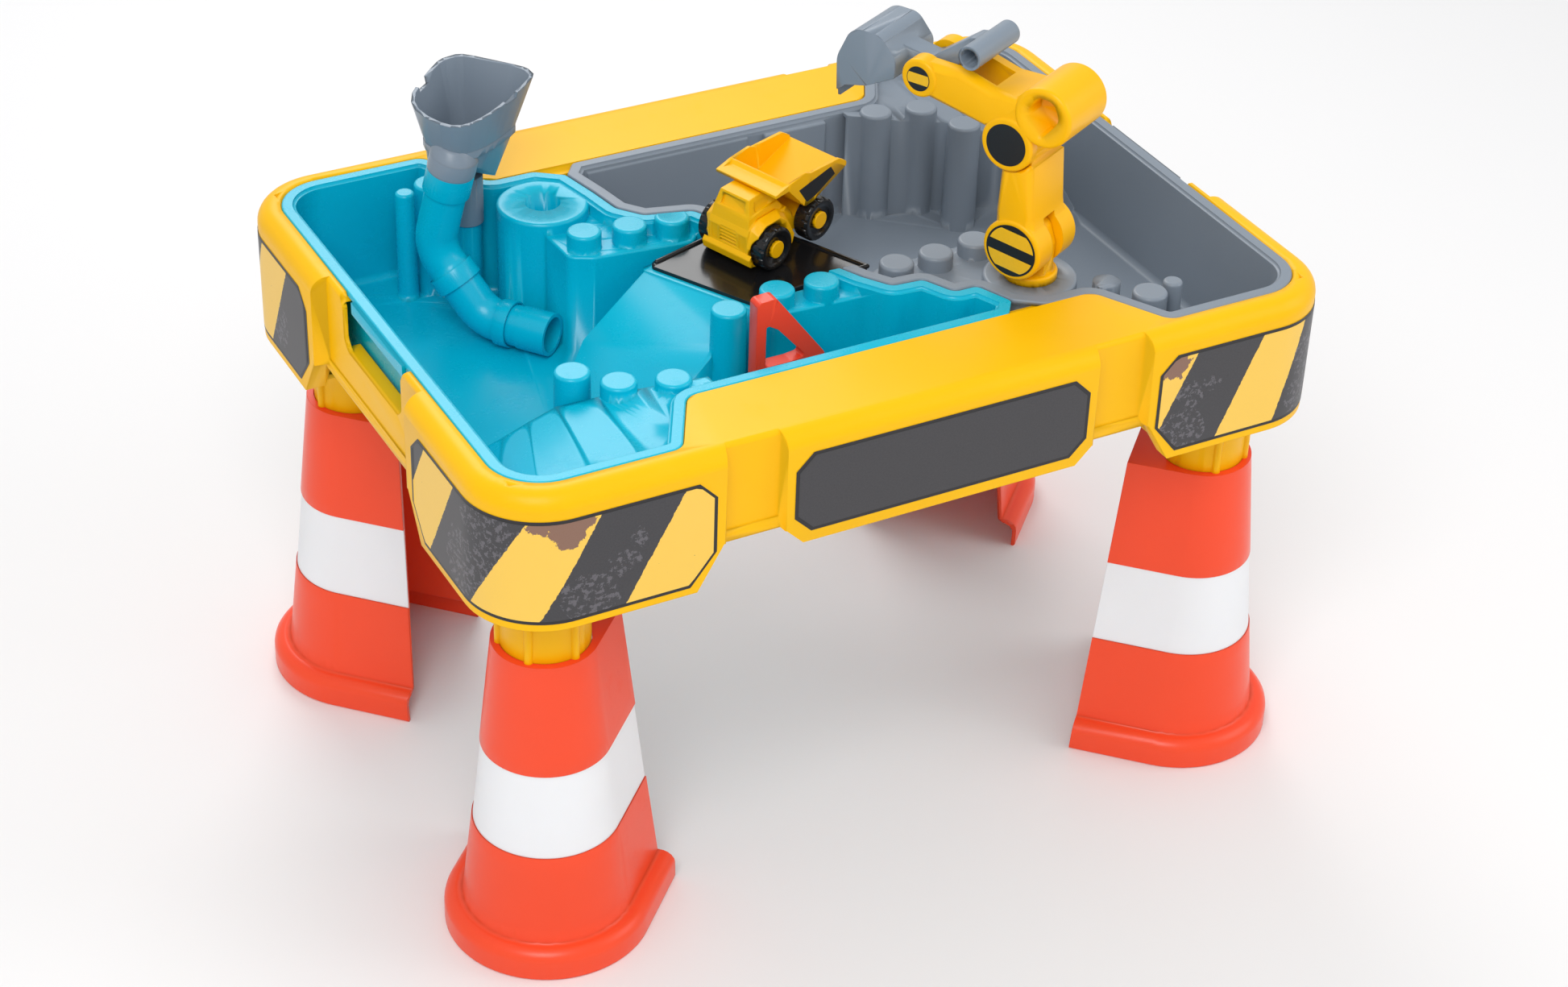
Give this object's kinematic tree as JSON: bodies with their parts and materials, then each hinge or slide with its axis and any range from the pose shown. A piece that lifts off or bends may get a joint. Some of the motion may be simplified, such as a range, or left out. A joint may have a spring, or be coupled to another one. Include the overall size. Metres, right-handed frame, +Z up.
{
  "type": "sand and water play table",
  "caption": "Children's sand and water play table: split trays in a yellow rim on cone legs, jointed excavator arm, dump truck on a bridge, funnel with elbow pipe, and a spade.",
  "frame": {"origin": "centre of the foot print on the floor", "axes": "+Z up, +X along the long side with the sand tray to the right, -Y towards the front side with the spade well"},
  "size_m": [0.7448, 0.5336, 0.6275],
  "materials": {
    "yellow_shell": "semi-gloss moulded polypropylene",
    "blue_shell": "semi-gloss moulded polypropylene",
    "gray_shell": "semi-gloss moulded polypropylene",
    "orange_red": "semi-gloss moulded polypropylene",
    "white_band": "satin",
    "black_gloss": "gloss",
    "tool_red": "semi-gloss",
    "label_print": "printed film, satin"
  },
  "bodies": {
    "table": {"table_frame": "yellow_shell", "water_tray": "blue_shell", "sand_tray": "gray_shell", "leg_front_left": "orange_red", "leg_front_right": "orange_red", "leg_back_left": "orange_red", "leg_back_right": "orange_red", "leg_band_front_left": "white_band", "leg_band_front_right": "white_band", "leg_band_back_left": "white_band", "leg_band_back_right": "white_band", "corner_label_front_left": "label_print", "corner_label_front_right": "label_print", "corner_label_back_left": "label_print", "corner_label_back_right": "label_print", "panel_label_front": "label_print", "panel_label_back": "label_print"},
    "bridge": {"bridge": "black_gloss"},
    "truck": {"truck_cab": "yellow_shell"},
    "truck_front_wheels": {"truck_front_axle": "black_gloss", "truck_front_hubs": "yellow_shell", "tyre_front_near": "black_gloss", "tyre_front_far": "black_gloss"},
    "truck_rear_wheels": {"truck_rear_axle": "black_gloss", "truck_rear_hubs": "yellow_shell", "tyre_rear_near": "black_gloss", "tyre_rear_far": "black_gloss"},
    "truck_bed": {"truck_bed": "yellow_shell", "truck_bed_pin": "gray_shell"},
    "funnel": {"funnel_hopper": "gray_shell", "funnel_post": "gray_shell"},
    "pipe": {"pipe_elbow_upper": "blue_shell", "pipe_elbow_lower": "blue_shell", "pipe_spout": "blue_shell"},
    "digger_base": {"excavator_base": "yellow_shell"},
    "digger_boom": {"excavator_boom": "yellow_shell", "excavator_pin_low": "gray_shell", "boom_roundels": "label_print"},
    "digger_stick": {"excavator_stick": "yellow_shell", "excavator_pin_elbow": "gray_shell", "excavator_pin_tip": "gray_shell", "stick_roundels": "label_print"},
    "digger_bucket": {"excavator_bucket": "gray_shell"},
    "spade": {"spade": "tool_red"}
  },
  "joints": [
    {"name": "bridge_lift", "type": "slide", "parent": "table", "child": "bridge", "axis": [0, 0, 1], "range_m": [0, 0.03]},
    {"name": "truck_lift", "type": "slide", "parent": "bridge", "child": "truck", "axis": [-0.0995, -0.0537, 0.9936], "range_m": [0, 0.04]},
    {"name": "front_axle_spin", "type": "hinge", "parent": "truck", "child": "truck_front_wheels", "pos_m": [-0.03281, 0.00215, 0.44782], "axis": [0.3551, -0.9347, -0.0149], "continuous": true},
    {"name": "rear_axle_spin", "type": "hinge", "parent": "truck", "child": "truck_rear_wheels", "pos_m": [0.01459, 0.02007, 0.45353], "axis": [0.3551, -0.9347, -0.0149], "continuous": true},
    {"name": "bed_tilt", "type": "hinge", "parent": "truck", "child": "truck_bed", "pos_m": [0.01898, 0.02154, 0.46613], "axis": [-0.3551, 0.9347, 0.0149], "range_deg": [0, 40]},
    {"name": "funnel_lift", "type": "slide", "parent": "table", "child": "funnel", "axis": [0, 0, 1], "range_m": [0, 0.03]},
    {"name": "pipe_swivel", "type": "hinge", "parent": "funnel", "child": "pipe", "pos_m": [-0.2267, 0.1252, 0.4884], "axis": [0.148, -0.1906, 0.9704], "range_deg": [-20, 0]},
    {"name": "digger_swivel", "type": "hinge", "parent": "table", "child": "digger_base", "pos_m": [0.147, -0.131, 0.438], "axis": [0, 0, 1], "continuous": true},
    {"name": "boom_hinge", "type": "hinge", "parent": "digger_base", "child": "digger_boom", "pos_m": [0.14561, -0.12834, 0.4705], "axis": [-0.8854, -0.4648, 0], "range_deg": [-15, 12]},
    {"name": "stick_hinge", "type": "hinge", "parent": "digger_boom", "child": "digger_stick", "pos_m": [0.14031, -0.11825, 0.5574], "axis": [-0.8854, -0.4648, 0], "range_deg": [-18, 15]},
    {"name": "bucket_hinge", "type": "hinge", "parent": "digger_stick", "child": "digger_bucket", "pos_m": [0.1033, -0.04777, 0.588], "axis": [-0.8854, -0.4648, 0], "range_deg": [-7, 40]},
    {"name": "spade_lift", "type": "slide", "parent": "table", "child": "spade", "axis": [0, 0, 1], "range_m": [0, 0.1]}
  ]
}
